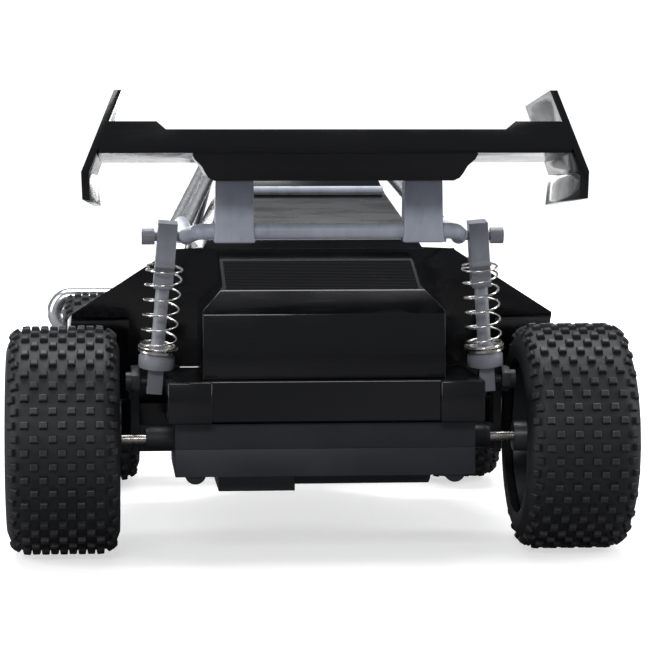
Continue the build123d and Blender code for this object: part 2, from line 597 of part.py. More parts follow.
def hood_shape(inset):
    i = inset
    return loft([
        section(44.6, [(36 - i, 50), (36 - i, 72 - i), (26 - i * 0.6, 79 - i), (-26 + i * 0.6, 79 - i), (-36 + i, 72 - i),
                       (-36 + i, 50)]),
        section(78, [(29 - i, 50), (29 - i, 66 - i), (20 - i * 0.6, 72 - i), (-20 + i * 0.6, 72 - i), (-29 + i, 66 - i),
                     (-29 + i, 50)]),
        section(FRONT_Y + 16 - i, [(19 - i, 50), (19 - i, 58 - i), (14 - i * 0.6, 62 - i), (-14 + i * 0.6, 62 - i),
                                   (-19 + i, 58 - i), (-19 + i, 50)]),
    ], ruled=True)


def body_shell():
    """Side pods with mud flaps under them, hood, cowl and rear bulkhead, moulded as one."""
    pod = side_pod()
    hood = hood_shape(0) - hood_shape(SKIN) - block(-99, 99, 40, 200, 40, 50.4)
    bulkhead = block(-46, 46, -63, -63 + SKIN, 57.1, 95.2)
    flap = block(-62, -40.4, -38, -38 + SKIN, 31, 44.5)
    cowl = plate_xz([(-40, 50.4), (40, 50.4), (40, 68), (36, 72), (26, 78), (-26, 78), (-36, 72), (-40, 68)], 44.4, 46)
    return pod + flip(pod) + hood + bulkhead + cowl + flap + flip(flap)


CABIN_BACK, CABIN_FRONT = -63 + SKIN, 44.4


def cabin_side(inset):
    i = inset
    return [(CABIN_BACK + i, 60 + i), (CABIN_BACK + i, 98 - i), (-24, 112 - i), (-23 + i * 0.6, 118 - i),
            (-8, 124.5 - i), (18 - i * 0.5, 123 - i), (48.6 - i * 1.2, 79.6), (CABIN_FRONT - i, 79.6),
            (CABIN_FRONT - i, 60 + i)]


def cabin_front(inset):
    i = inset
    right = [(36 - i, 40), (36 - i, 95), (34 - i, 98), (25 - i, 117 - i * 0.5), (22 - i, 126)]
    return right + [(-x, z) for x, z in reversed(right)]


def strip(start, end, depth, ends):
    """A band `depth` deep under the line from start to end, without `ends` of its length at either end."""
    (u0, v0), (u1, v1) = start, end
    length = math.hypot(u1 - u0, v1 - v0)
    du, dv = (u1 - u0) / length, (v1 - v0) / length
    a, b = (u0 + du * ends, v0 + dv * ends), (u1 - du * ends, v1 - dv * ends)
    return [a, b, (b[0] + dv * depth, b[1] - du * depth), (a[0] + dv * depth, a[1] - du * depth)]


def windows():
    """Windscreen and the two side windows, flush in the cabin."""
    screen = plate_yz(strip((18, 123), (48.6, 79.6), 1.2, 5.0), -24, 24)
    pane = plate_xz(strip((-34, 98), (-25, 117), 1.2, 1.5), -60, 60)
    pane &= plate_yz([(-22, 99), (34, 99), (24, 116), (-18, 116)], -60, 60)
    return [screen & prism(cabin_side(0), cabin_front(0)), pane, flip(pane)]


def back_bar():
    """Grey bar across the back of the cabin, under the roof edge."""
    return rod_x(1.25, -26.5, 26.5, -25.2, 113.3)


def cabin(glass):
    shell = prism(cabin_side(0), cabin_front(0)) - prism(cabin_side(SKIN), cabin_front(SKIN)) - back_bar()
    shell -= block(-99, 99, -99, 99, 0, 66)
    for pane in glass:
        shell -= pane
    return shell


# ---------------------------------------------------------------- tubes and wing
def rear_hoop():
    """Crossbar behind the cabin with a side rail each side, and feet on the body."""
    y = -52.0
    path = [(-RAIL_X, y, 103), (-RAIL_X, HOOP_Y + 16, 101.2), (-RAIL_X + 3.5, HOOP_Y, HOOP_Z),
            (RAIL_X - 3.5, HOOP_Y, HOOP_Z), (RAIL_X, HOOP_Y + 16, 101.2), (RAIL_X, y, 103)]
    hoop = tube(path, HOOP_R, 4.0)
    _, pin_y, pin_z = SHOCK_TOP
    for x in (-RAIL_X, RAIL_X):
        hoop += Pos(x, pin_y, pin_z) * Sphere(2.6)
        hoop += block(x - 1.6, x + 1.6, -60, -54, 97.0, 103)
    hoop -= block(-60, 60, -61, -50, 90, 96.4)
    bore = rod_x(UPPER_PIN_R, -52, -RAIL_X, pin_y, pin_z)
    return hoop - bore - flip(bore)


def roll_cage():
    """Bright tubes: one each side from the rail over the cabin to the hood, joined by a bar over the roof.

    A second stay lies beside the rear stretch of each, up to the roof.
    """
    path = [(-RAIL_X - 3.2, -50.0, 101.0), (-31, 12, 123.5), (-28.6, 40, 120.5), (-40.8, 50, 73)]
    left = tube(path, 1.9, 7.0) + tube([(-RAIL_X + 0.9, -50.0, 101.0), (-28.0, 10, 122.8)], 1.9, 0)
    left -= loft(pod_sections(0, -36), ruled=True)
    return left + flip(left) + rod_x(1.7, -29, 29, 38.6, 119.8)


def wing_support():
    """Left pillar, clamped round the crossbar."""
    outer, inner = -34.2, -22.8
    foot, top = HOOP_Z - 3.4, WING_KEEL_Z
    outline = [(outer - 0.6, foot), (inner + 0.6, foot), (inner + 0.2, HOOP_Z), (inner, top), (outer, top),
               (outer - 0.2, HOOP_Z)]
    pillar = plate_xz(outline, HOOP_Y - 4.4, HOOP_Y + 4.4)
    return pillar - rod_x(HOOP_R, -60, 60, HOOP_Y, HOOP_Z)


WING_KEEL_Z = 118.6


def wing_keel():
    tail = WING_TAIL_Y
    low = Pos(0, 0, WING_KEEL_Z) * make_face(Polyline((-43, tail + 8), (43, tail + 8), (43, tail + 38), (-43, tail + 38),
                                                      close=True))
    side = [(42.6, 128), (41.2, 125.0), (39.0, 122.9), (37.9, 120.8), (36.9, 119.4), (35.2, WING_KEEL_Z)]
    outline = plate_xz(side + [(-x, z) for x, z in reversed(side)], tail, tail + 44)
    high = Pos(0, 0, 128.0) * make_face(Polyline((-43, tail + 3), (43, tail + 3), (43, tail + 40), (-43, tail + 40),
                                                 close=True))
    under_deck = plate_yz([(tail, 100), (tail, 127.4), (tail + 42, 124.1), (tail + 42, 100)], -60, 60)
    return loft([low, high], ruled=True) & outline & under_deck


def end_plate():
    """Left end plate: upper part leans in, lower part hangs nearly straight."""
    tail = WING_TAIL_Y
    back = [(-62.3, 145), (-64.5, 145), (-74.1, 121.4), (-73.8, 113.5), (-71.6, 113.5), (-71.9, 121.4)]
    front = [(-62.0, 140.7), (-64.2, 140.7), (-71.6, 119.5), (-70.6, 110.4), (-68.4, 110.4), (-69.4, 119.5)]
    return loft([section(tail, back), section(tail + 44, front)], ruled=True)


def rear_wing():
    tail = WING_TAIL_Y
    profile = [(tail, 133.7), (tail, 126.8), (tail + 42, 123.5), (tail + 42, 125.3), (tail + 4, 129.4), (tail + 2, 133.7)]
    deck = plate_yz(profile, -69.0, 69.0)
    horn = plate_xz([(-67.4, 127), (-48.0, 127), (-49.6, 133.7), (-52.3, 136), (-67.0, 136)], tail, tail + 2.0)
    plate = end_plate()
    return deck + wing_keel() + horn + flip(horn) + plate + flip(plate)


def front_bumper():
    """One closed loop of tube across the nose."""
    bend, middle, reach = 5.9, 61.1, 89.8 - BUMPER_R - 5.9
    loop = rod_x(BUMPER_R, -reach, reach, BUMPER_Y, middle - bend) + rod_x(BUMPER_R, -reach, reach, BUMPER_Y, middle + bend)
    ring = Pos(-reach, BUMPER_Y, middle) * Rot(90, 0, 0) * Torus(bend, BUMPER_R)
    end = ring & block(-100, -reach, BUMPER_Y - 9, BUMPER_Y + 9, 40, 80)
    return loop + end + flip(end)


def bumper_mount():
    """Two brackets on the nose of the tub, bored for both tubes, with a plate between them."""
    outline = [(127, 24), (127, 43), (143, 72), (150, 72), (150, 50), (144, 50), (134, 24)]
    mount = plate_yz(outline, -17, -12.5) + plate_yz(outline, 12.5, 17) + block(-13, 13, 127, 129, 26, 42)
    return mount - rod_x(BUMPER_R, -99, 99, BUMPER_Y, 67.0) - rod_x(BUMPER_R, -99, 99, BUMPER_Y, 55.2)


# ---------------------------------------------------------------- writing the nodes
def build_rear_shocks():
    save_pair("rear_shock_body", shock_body())
    save_pair("rear_shock_rod", shock_rod())
    save_pair("rear_spring", coil(shock_frame(), 8.8, SHOCK_LENGTH - 11.0, 6.0))


def build_front_end():
    save_pair("front_arm", front_arm())
    save_pair("knuckle", knuckle())
    save_pair("front_shock_rod", front_shock_rod())
    save_pair("front_spring", coil(front_shock_frame(), 8.7, FRONT_SHOCK_LENGTH - 8.4, 7.0))
    pins, axle = front_arm_pins(), stub_axle()
    for side, turn in (("left", lambda shape: shape), ("right", flip)):
        save(f"front_arm_pins_{side}", *[turn(pin) for pin in pins])
        save(f"stub_axle_{side}", turn(axle))
    body = front_shock_body()
    save("front_shock_bodies", body, flip(body))
    save("front_shock_tower", front_shock_tower())
    save("tie_bar", tie_bar())
    save("steering_lever", steering_lever())
    save("servo", servo())


def build_chassis():
    save("chassis_tub", chassis_tub())
    save("battery_door", block(-28.0, 28.0, -32.8, 45.0, 18.4, TUB_LOW))
    save("battery_cells", *battery_cells())
    save("receiver_board", receiver_board())
    save("power_button", power_button())
    pins = [swing_pin(), rod_y(1.0, FRONT_Y - 16.4, FRONT_Y + 16.4, -ARM_X, ARM_Z), front_shock_bolt(), upper_shock_pin()]
    save("chassis_pins", *pins, *[flip(pin) for pin in pins])


def build_body():
    glass = windows()
    save("body_shell", body_shell())
    save("cabin", cabin(glass))
    save("windows", *glass)
    save("rear_cover", rear_cover())
    save("rear_bumper", rear_bumper())
    save("rear_hoop", rear_hoop(), back_bar())
    save("roll_cage", roll_cage())
    support = wing_support()
    save("wing_supports", support, flip(support))
    save("rear_wing", rear_wing())
    save("front_bumper", front_bumper())
    save("bumper_mount", bumper_mount())


def main():
    os.makedirs("parts", exist_ok=True)
    build_wheels()
    build_rear_unit()
    build_rear_shocks()
    build_front_end()
    build_chassis()
    build_body()


main()
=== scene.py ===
# %% [markdown]
# # A remote control sand buggy
# A toy off-road car: knobbed tyres, a black body, a high wing and coil shocks. The mechanical model is
# loaded first. Every CAD node is then either given a real finish or replaced by a finer piece that stands
# in the same place, so the car still drives, steers and bounces.

# %% Load the frame
import json
import math

import bpy
from mathutils import Matrix, Vector


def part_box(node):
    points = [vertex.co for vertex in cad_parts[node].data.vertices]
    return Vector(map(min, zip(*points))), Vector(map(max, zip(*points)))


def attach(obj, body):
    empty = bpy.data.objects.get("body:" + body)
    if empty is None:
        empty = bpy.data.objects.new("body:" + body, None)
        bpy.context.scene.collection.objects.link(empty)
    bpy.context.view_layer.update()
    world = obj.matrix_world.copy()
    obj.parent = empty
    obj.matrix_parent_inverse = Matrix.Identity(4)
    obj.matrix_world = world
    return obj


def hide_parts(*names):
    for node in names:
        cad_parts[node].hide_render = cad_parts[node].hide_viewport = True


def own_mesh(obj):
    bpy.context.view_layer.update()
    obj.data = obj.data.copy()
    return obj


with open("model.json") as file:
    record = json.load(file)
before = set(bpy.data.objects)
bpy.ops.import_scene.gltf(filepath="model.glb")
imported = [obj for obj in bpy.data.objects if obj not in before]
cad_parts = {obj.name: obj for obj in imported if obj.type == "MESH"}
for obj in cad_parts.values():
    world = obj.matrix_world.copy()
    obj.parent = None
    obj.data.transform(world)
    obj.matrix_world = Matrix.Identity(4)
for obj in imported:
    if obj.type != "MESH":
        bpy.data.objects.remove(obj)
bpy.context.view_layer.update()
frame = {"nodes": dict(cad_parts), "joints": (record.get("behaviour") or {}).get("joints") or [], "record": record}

MM = 0.001


# %% [markdown]
# Sizes are read from the CAD nodes, so that nothing has to be fitted by eye. A box has a low and a high
# corner, and its middle is used all the time. The record says which material slot and which body each
# node has, and the joints say along which line a shock shortens.


# %% Boxes and middles
def box(node):
    low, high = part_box(node)
    return Vector(low), Vector(high)


def middle(node):
    low, high = box(node)
    return (low + high) / 2


rear_wheel = middle("rear_tyre_right")
front_wheel = middle("front_tyre_right")
wheel_radius = (box("rear_tyre_right")[1].z - box("rear_tyre_right")[0].z) / 2
slot_of = {part["node"]: part["material_slot"] for part in frame["record"]["subparts"]}
body_of = {node: body for body, held in frame["record"]["behaviour"]["bodies"].items() for node in held}
joint_of = {joint["name"]: joint for joint in frame["joints"]}
print("wheelbase", round(front_wheel.y - rear_wheel.y, 4), "wheel radius", round(wheel_radius, 4))

# %% [markdown]
# The camera stands low behind the car, a little to its left, with a long lens that keeps the lines of
# the car nearly parallel. It is aimed, not shifted, so that it can also be walked round the car.

# %% Camera
LENS_MM, SENSOR_MM = 150.1, 36.0
LEFT, BEHIND, HEIGHT = -0.0691, 0.8532, 0.1338
DIP, TURN = 4.14, -4.774

lens = bpy.data.cameras.new("studio_camera")
lens.lens, lens.sensor_width = LENS_MM, SENSOR_MM
lens.clip_start, lens.clip_end = 0.01, 20.0
camera = bpy.data.objects.new("studio_camera", lens)
bpy.context.collection.objects.link(camera)
camera.location = (LEFT, rear_wheel.y - BEHIND, HEIGHT)
camera.rotation_euler = (math.radians(90 - DIP), 0, math.radians(TURN))
bpy.context.scene.camera = camera
bpy.context.scene.view_settings.view_transform = "Standard"
print("camera", [round(v, 3) for v in camera.location])

# %% [markdown]
# Black plastic shows nothing but its reflections, so the lights matter more than its colour. Two tall
# soft boxes stand at the sides and draw the long highlights, a wide one hangs overhead, a weak one behind
# the camera keeps the tread readable, and a low one lights the nose.


# %% Lights
def soft_box(name, place, target, width, height, power):
    light = bpy.data.lights.new(name, "AREA")
    light.shape, light.size, light.size_y, light.energy = "RECTANGLE", width, height, power
    lamp = bpy.data.objects.new(name, light)
    bpy.context.collection.objects.link(lamp)
    lamp.location = place
    lamp.rotation_euler = (Vector(target) - Vector(place)).to_track_quat("-Z", "Y").to_euler()


soft_box("left_box", (-0.95, -0.30, 0.50), (0, -0.05, 0.07), 0.30, 0.9, 5.0)
soft_box("right_box", (0.95, -0.20, 0.50), (0, -0.05, 0.07), 0.25, 0.9, 4.5)
soft_box("top_box", (0.0, 0.22, 1.05), (0, 0, 0.05), 1.0, 0.45, 9.0)
soft_box("back_box", (-0.30, -1.5, 0.85), (0, -0.1, 0.06), 0.6, 0.3, 5.5)
soft_box("front_box", (0.0, 1.5, 0.22), (0, 0.1, 0.05), 1.2, 0.25, 4.0)


# %% [markdown]
# A finish is a network of nodes. Writing the maths as Python expressions keeps it readable, so one small
# class stands for a number socket and adds a Math node whenever two of them are added or multiplied.


# %% Numbers that become Math nodes
class Number:
    def __init__(self, network, socket):
        self.network, self.socket = network, socket

    def math(self, operation, *values):
        return self.network.number("ShaderNodeMath", {"operation": operation}, dict(enumerate(values)))

    def __add__(self, other):
        return self.math("ADD", self, other)

    def __sub__(self, other):
        return self.math("SUBTRACT", self, other)

    def __mul__(self, other):
        return self.math("MULTIPLY", self, other)

    def __gt__(self, other):
        return self.math("GREATER_THAN", self, other)

    def __rsub__(self, other):
        return self.math("SUBTRACT", other, self)

    __radd__, __rmul__ = __add__, __mul__

    def root(self):
        return self.math("SQRT", self)


print("operators", sorted(name for name in vars(Number) if name.startswith("__r")))


# %% [markdown]
# Every node comes from one method, which takes its type, its settings and the values or links of its
# sockets. The settings come first, because some of them change which sockets there are.


# %% Networks of nodes
class Network:
    """The nodes of a material or of the sky."""

    def __init__(self, tree):
        self.tree = tree
        tree.nodes.clear()

    def node(self, kind, settings=None, sockets=None):
        made = self.tree.nodes.new(kind)
        for key, value in (settings or {}).items():
            setattr(made, key, value)
        for key, value in (sockets or {}).items():
            source = value.socket if isinstance(value, Number) else value
            if isinstance(source, bpy.types.NodeSocket):
                self.tree.links.new(source, made.inputs[key])
            else:
                made.inputs[key].default_value = source
        return made

    def number(self, kind, settings=None, sockets=None):
        return Number(self, self.node(kind, settings, sockets).outputs[0])


# %% [markdown]
# The sky is white, but the sky that the car reflects is kept much darker than the one that the camera
# sees. A Light Path node tells the two apart.

# %% Sky
SEEN_STRENGTH, REFLECTED_STRENGTH = 1.15, 0.24

world = bpy.data.worlds.new("studio_sky")
world.use_nodes = True
bpy.context.scene.world = world
sky = Network(world.node_tree)
seen = sky.node("ShaderNodeBackground", {}, {"Color": (1, 1, 1, 1), "Strength": SEEN_STRENGTH})
lit = sky.node("ShaderNodeBackground", {}, {"Color": (0.93, 0.95, 1, 1), "Strength": REFLECTED_STRENGTH})
ray = sky.node("ShaderNodeLightPath").outputs["Is Camera Ray"]
both = sky.node("ShaderNodeMixShader", {}, {0: ray, 1: lit.outputs[0], 2: seen.outputs[0]})
sky.node("ShaderNodeOutputWorld", {}, {"Surface": both.outputs[0]})
print("sky", len(world.node_tree.nodes), "nodes")


# %% [markdown]
# A finish starts with the point on the piece in millimetres, which makes every pattern easy to scale.
# Noise gives flow marks, grain and smudges, and a Bump node turns the fine ones into relief.


# %% The finish builder
class Finish(Network):
    def __init__(self, name):
        self.material = bpy.data.materials.new(name)
        self.material.use_nodes = True
        super().__init__(self.material.node_tree)
        point = self.node("ShaderNodeTexCoord").outputs["Object"]
        self.point = self.node("ShaderNodeVectorMath", {"operation": "SCALE"},
                               {"Vector": point, "Scale": 1 / MM}).outputs[0]

    def coordinates(self):
        """x, y and z of the point, in millimetres."""
        parts = self.node("ShaderNodeSeparateXYZ", {}, {0: self.point})
        return [Number(self, output) for output in parts.outputs]

    def stretched(self, scale, turn=(0, 0, 0)):
        """The point in a space stretched by `scale`, for streaks."""
        sockets = {"Vector": self.point, "Scale": scale, "Rotation": turn}
        return self.node("ShaderNodeMapping", {}, sockets).outputs[0]

    def noise(self, scale, detail=2.0, roughness=0.5, point=None):
        return self.number("ShaderNodeTexNoise", {}, {
            "Vector": point or self.point, "Scale": scale, "Detail": detail, "Roughness": roughness})

    def steps(self, value, low, high, start=0.0, end=1.0):
        """value, remapped from low..high to start..end and held there."""
        return self.number("ShaderNodeMapRange", {}, {
            "Value": value, "From Min": low, "From Max": high, "To Min": start, "To Max": end})

    def blend(self, factor, first, second):
        """A colour between two others, each a socket or three numbers."""
        ends = [end if isinstance(end, bpy.types.NodeSocket) else (*end, 1.0) for end in (first, second)]
        mixed = self.node("ShaderNodeMix", {"data_type": "RGBA"}, {0: factor, 6: ends[0], 7: ends[1]})
        return mixed.outputs[2]

    def bump(self, height, distance, strength=1.0):
        """Relief. distance is the real depth of the pattern, in metres."""
        sockets = {"Height": height, "Distance": distance, "Strength": strength}
        return self.node("ShaderNodeBump", {}, sockets).outputs[0]

    def surface(self, **sockets):
        """The shader with these sockets, and the finished material."""
        named = {key.replace("_", " "): value for key, value in sockets.items()}
        shader = self.node("ShaderNodeBsdfPrincipled", {}, named)
        self.node("ShaderNodeOutputMaterial", {}, {"Surface": shader.outputs[0]})
        print("finish", self.material.name, len(self.tree.nodes), "nodes")
        return self.material


# %% [markdown]
# The black mouldings. The body is polished: its colour is nearly nothing, and it lives on soft
# smudges and hair scratches in its roughness. The chassis parts come from an etched mould, so they get an
# even fine grain and stay dull. The cabin lies between the two and shows the flow of the plastic.


# %% Black plastics
def polished_black():
    f = Finish("polished_black")
    smudge = f.noise(0.035, 3.0, 0.6)
    dust = f.noise(1.4, 4.0, 0.7)
    hair = f.noise(0.9, 2.0, 0.5, f.stretched((0.08, 1.0, 1.6), (0.3, 0.5, 0.9)))
    specks = f.steps(dust, 0.66, 0.74)
    scratch = f.steps(hair, 0.62, 0.70)
    colour = f.blend(specks * 0.35, (0.004, 0.0042, 0.005), (0.018, 0.019, 0.021))
    rough = f.steps(smudge, 0.35, 0.7, 0.13, 0.24) + scratch * 0.05 + specks * 0.12
    relief = f.noise(0.09, 2.0) * 0.7 + hair * 0.12
    return f.surface(Base_Color=colour, Roughness=rough, Coat_Weight=0.15, Coat_Roughness=0.06, IOR=1.45,
                     Normal=f.bump(relief, 0.00022, 0.55))


def grained_black():
    f = Finish("grained_black")
    grain = f.noise(3.2, 3.0, 0.65)
    cloud = f.noise(0.06, 3.0, 0.6)
    wear = f.steps(f.noise(0.5, 5.0, 0.7), 0.6, 0.75)
    colour = f.blend(f.steps(cloud, 0.3, 0.7), (0.015, 0.017, 0.021), (0.023, 0.0255, 0.031))
    colour = f.blend(wear * 0.25, colour, (0.045, 0.048, 0.055))
    rough = f.steps(cloud, 0.3, 0.7, 0.42, 0.54) + wear * 0.05
    return f.surface(Base_Color=colour, Roughness=rough, Normal=f.bump(grain, 0.00008, 0.6))


def satin_black():
    f = Finish("satin_black")
    grain = f.noise(2.0, 3.0, 0.6)
    cloud = f.noise(0.05, 3.0, 0.6)
    flow = f.noise(0.25, 2.0, 0.5, f.stretched((0.12, 1.0, 1.0)))
    colour = f.blend(f.steps(cloud, 0.3, 0.7), (0.005, 0.0053, 0.006), (0.010, 0.0105, 0.0125))
    rough = f.steps(flow, 0.35, 0.65, 0.22, 0.32)
    return f.surface(Base_Color=colour, Roughness=rough, Coat_Weight=0.15, Coat_Roughness=0.15,
                     Normal=f.bump(flow * 0.5 + grain * 0.1, 0.00005, 0.4))


# %% [markdown]
# The grey mouldings are the same plastic with more pigment. Cooling leaves cloudy marks in it, and
# thin places look lighter.


# %% Grey plastics
def grey_plastic(name, low, high, rough_low, rough_high):
    f = Finish(name)
    cloud = f.noise(0.11, 4.0, 0.6)
    flow = f.noise(0.3, 2.0, 0.5, f.stretched((1.0, 1.0, 0.25)))
    grain = f.noise(2.6, 2.0, 0.6)
    colour = f.blend(f.steps(cloud * 0.6 + flow * 0.4, 0.35, 0.65), low, high)
    rough = f.steps(flow, 0.35, 0.65, rough_low, rough_high)
    return f.surface(Base_Color=colour, Roughness=rough, Coat_Weight=0.1, Coat_Roughness=0.2,
                     Normal=f.bump(grain * 0.3 + flow * 0.5, 0.00010, 0.6))


# %% [markdown]
# Metals. Plated plastic is bright with faint waves, springs are drawn wire with nickel on it, and turned
# rods carry fine rings from the lathe.


# %% Metals
def plated_silver():
    f = Finish("plated_silver")
    wave = f.noise(0.12, 2.0, 0.5)
    haze = f.noise(0.5, 4.0, 0.6)
    colour = f.blend(f.steps(haze, 0.3, 0.7), (0.78, 0.79, 0.81), (0.90, 0.91, 0.93))
    rough = f.steps(haze, 0.3, 0.7, 0.22, 0.27)
    return f.surface(Base_Color=colour, Metallic=1.0, Roughness=rough, Normal=f.bump(wave, 0.00003, 0.3))


def nickel_wire():
    f = Finish("nickel_wire")
    drawn = f.noise(2.5, 3.0, 0.6)
    stain = f.noise(0.3, 3.0, 0.6)
    colour = f.blend(f.steps(stain, 0.4, 0.7), (0.93, 0.92, 0.90), (0.74, 0.72, 0.69))
    rough = f.steps(drawn, 0.3, 0.7, 0.14, 0.28)
    return f.surface(Base_Color=colour, Metallic=1.0, Roughness=rough, Normal=f.bump(drawn, 0.00004, 0.6))


def turned_steel(name, light, dark, rough_low=0.22):
    f = Finish(name)
    rings = f.noise(6.0, 2.0, 0.5, f.stretched((1.0, 0.04, 0.04)))
    stain = f.noise(0.4, 3.0, 0.6)
    colour = f.blend(f.steps(stain, 0.35, 0.7), light, dark)
    rough = f.steps(rings, 0.3, 0.7, rough_low, rough_low + 0.10)
    return f.surface(Base_Color=colour, Metallic=1.0, Roughness=rough, Normal=f.bump(rings, 0.00002, 0.4))


# %% [markdown]
# Tyre rubber is a dull charcoal. The tops of the blocks are rubbed a little smoother, and their colour is a
# painted highlight: they are made lighter, which leaves painted shade on the ground between them. Both depend only
# on the distance from the axle.


# %% Rubber
def tread_rubber():
    f = Finish("tread_rubber")
    _, y, z = f.coordinates()
    axle = (y > 0.0) * ((front_wheel.y - rear_wheel.y) / MM) + rear_wheel.y / MM
    offset, height = y - axle, z - wheel_radius / MM
    radius = (offset * offset + height * height).root()
    top = f.steps(radius, wheel_radius / MM - 0.9, wheel_radius / MM - 0.2)
    dust, grain = f.noise(0.35, 5.0, 0.65), f.noise(3.0, 3.0, 0.7)
    colour = f.blend(f.steps(dust, 0.35, 0.7), (0.010, 0.0105, 0.012), (0.020, 0.021, 0.0235))
    # painted highlight on the block tops, which leaves painted shade between the blocks
    colour = f.blend(top * 0.55, colour, (0.045, 0.046, 0.05))
    rough = f.steps(dust, 0.3, 0.7, 0.50, 0.62) - top * 0.08
    relief = f.bump(grain * 0.6 + dust * 0.4, 0.00014, 0.6)
    return f.surface(Base_Color=colour, Roughness=rough, Normal=relief)


# %% [markdown]
# A few finishes only show in a glimpse: tinted windows, natural nylon gears, the green receiver board
# and the wrapped cells.


# %% Small finishes
def plain_finish(name, low, high, rough, grain_depth=0.00006, coat=0.0):
    f = Finish(name)
    cloud, grain = f.noise(0.2, 3.0, 0.6), f.noise(2.2, 3.0, 0.6)
    colour = f.blend(f.steps(cloud, 0.3, 0.7), low, high)
    return f.surface(Base_Color=colour, Roughness=f.steps(cloud, 0.3, 0.7, rough, rough + 0.1),
                     Coat_Weight=coat, Normal=f.bump(grain, grain_depth, 0.6))


# %% [markdown]
# The floor is paper that glows for the camera, so that it melts into the white sky and still takes the
# soft shadow under the car. In the car's own reflections it stays dark near the wheels and is white far
# ahead, which is what lights up the underside of the wing at its low angle.


# %% White paper that keeps a shadow
def studio_paper():
    f = Finish("studio_paper")
    x, y, _ = f.coordinates()
    away = (x * x + y * y).root()
    camera_ray = Number(f, f.node("ShaderNodeLightPath").outputs["Is Camera Ray"])
    seen_glow = f.steps(away, 220.0, 900.0, 0.60, 1.2)
    mirrored_glow = f.steps(y, 250.0, 800.0, 0.0, 0.95)
    glow = camera_ray * seen_glow + (1.0 - camera_ray) * mirrored_glow
    lit_paper = f.blend(f.noise(0.8, 3.0, 0.6), (0.80, 0.80, 0.80), (0.84, 0.84, 0.84))
    colour = f.blend(camera_ray, (0.22, 0.22, 0.23), lit_paper)
    return f.surface(Base_Color=colour, Roughness=0.7, Emission_Color=glow, Emission_Strength=1.0)


# %% [markdown]
# The floor is one flat disc, just under the tyres so that the two never share a plane.

# %% Floor
bpy.ops.object.select_all(action="DESELECT")
bpy.ops.mesh.primitive_circle_add(vertices=96, radius=3.0, fill_type="NGON", location=(0, 0, -0.4 * MM))
floor = bpy.context.object
floor.name = "studio_floor"
floor.data.materials.append(studio_paper())
print("floor", [round(v, 2) for v in floor.dimensions])

# %% [markdown]
# The record gives every node a material slot. Here each slot gets its finish, and each CAD node is
# dressed in it, also those inside the body that show only when the car is taken apart.

# %% Hang the finishes on the CAD nodes
finishes = {
    "tyre_rubber": tread_rubber(),
    "rim_plastic": grey_plastic("rim_plastic", (0.040, 0.043, 0.048), (0.060, 0.064, 0.070), 0.34, 0.46),
    "gloss_black": polished_black(),
    "matte_black": grained_black(),
    "cabin_grey": satin_black(),
    "tinted_glass": plain_finish("tinted_glass", (0.008, 0.010, 0.013), (0.013, 0.016, 0.02), 0.06,
                                 0.00001, 0.6),
    "grey_plastic": grey_plastic("grey_plastic", (0.45, 0.485, 0.575), (0.58, 0.62, 0.72), 0.26, 0.38),
    "shock_grey": grey_plastic("shock_grey", (0.27, 0.285, 0.325), (0.37, 0.385, 0.43), 0.28, 0.40),
    "silver_plastic": plated_silver(),
    "steel": turned_steel("steel", (0.64, 0.62, 0.58), (0.48, 0.45, 0.40)),
    "spring_steel": nickel_wire(),
    "brass": turned_steel("brass", (0.78, 0.58, 0.28), (0.60, 0.42, 0.18), 0.26),
    "nylon": plain_finish("nylon", (0.66, 0.64, 0.57), (0.74, 0.72, 0.66), 0.42),
    "board_green": plain_finish("board_green", (0.010, 0.090, 0.040), (0.018, 0.13, 0.06), 0.30,
                                0.00003, 0.4),
    "cell_wrap": plain_finish("cell_wrap", (0.020, 0.035, 0.11), (0.03, 0.05, 0.15), 0.24, 0.00003, 0.5),
    "servo_black": plain_finish("servo_black", (0.016, 0.017, 0.019), (0.026, 0.027, 0.03), 0.45),
}


def dress(piece, slot):
    piece.data.materials.clear()
    piece.data.materials.append(finishes[slot])


for name, node in frame["nodes"].items():
    dress(node, slot_of[name])
print("finishes", len(finishes))

# %% [markdown]
# Every new piece starts as a primitive and is then worked on in edit mode, as by hand. These helpers keep
# that short. Each one deselects everything first, because an operator acts on all that is selected.


# %% Adding, selecting and joining
def only(piece):
    bpy.ops.object.select_all(action="DESELECT")
    piece.select_set(True)
    bpy.context.view_layer.objects.active = piece


def added(name, primitive, **settings):
    """Adds a primitive, with nothing else selected, and names it."""
    bpy.ops.object.select_all(action="DESELECT")
    primitive(**settings)
    piece = bpy.context.object
    piece.name = piece.data.name = name
    return piece


def settled(piece):
    """Moves the place, turn and scale of a piece into its mesh."""
    only(piece)
    bpy.ops.object.transform_apply(location=True, rotation=True, scale=True)
    return piece


def joined(pieces):
    """One piece out of several. The first gives its name."""
    bpy.ops.object.select_all(action="DESELECT")
    for piece in pieces:
        piece.select_set(True)
    bpy.context.view_layer.objects.active = pieces[0]
    bpy.ops.object.join()
    return pieces[0]


def twin(piece, name, move=(0, 0, 0)):
    """A copy with a mesh of its own, moved to its place."""
    copy = bpy.data.objects.new(name, piece.data.copy())
    bpy.context.collection.objects.link(copy)
    copy.data.name = name
    copy.location = move
    return settled(copy)


print("helpers", added.__name__, settled.__name__, joined.__name__, twin.__name__)

# %% [markdown]
# Faces are selected by a test on their middle and normal, and edges by a test on their two ends. The
# choice is made in object mode, and the piece is then left open in edit mode for the operators.


# %% Selecting in edit mode
def opened(piece, mode):
    only(piece)
    bpy.ops.object.mode_set(mode="EDIT")
    bpy.ops.mesh.select_mode(type=mode)
    bpy.ops.mesh.select_all(action="DESELECT")
    bpy.ops.object.mode_set(mode="OBJECT")


def edit_faces(piece, test=lambda face_middle, normal: True):
    """Opens the piece in edit mode with only the faces selected that pass test(middle, normal)."""
    opened(piece, "FACE")
    for face in piece.data.polygons:
        face.select = test(face.center, face.normal)
    bpy.ops.object.mode_set(mode="EDIT")


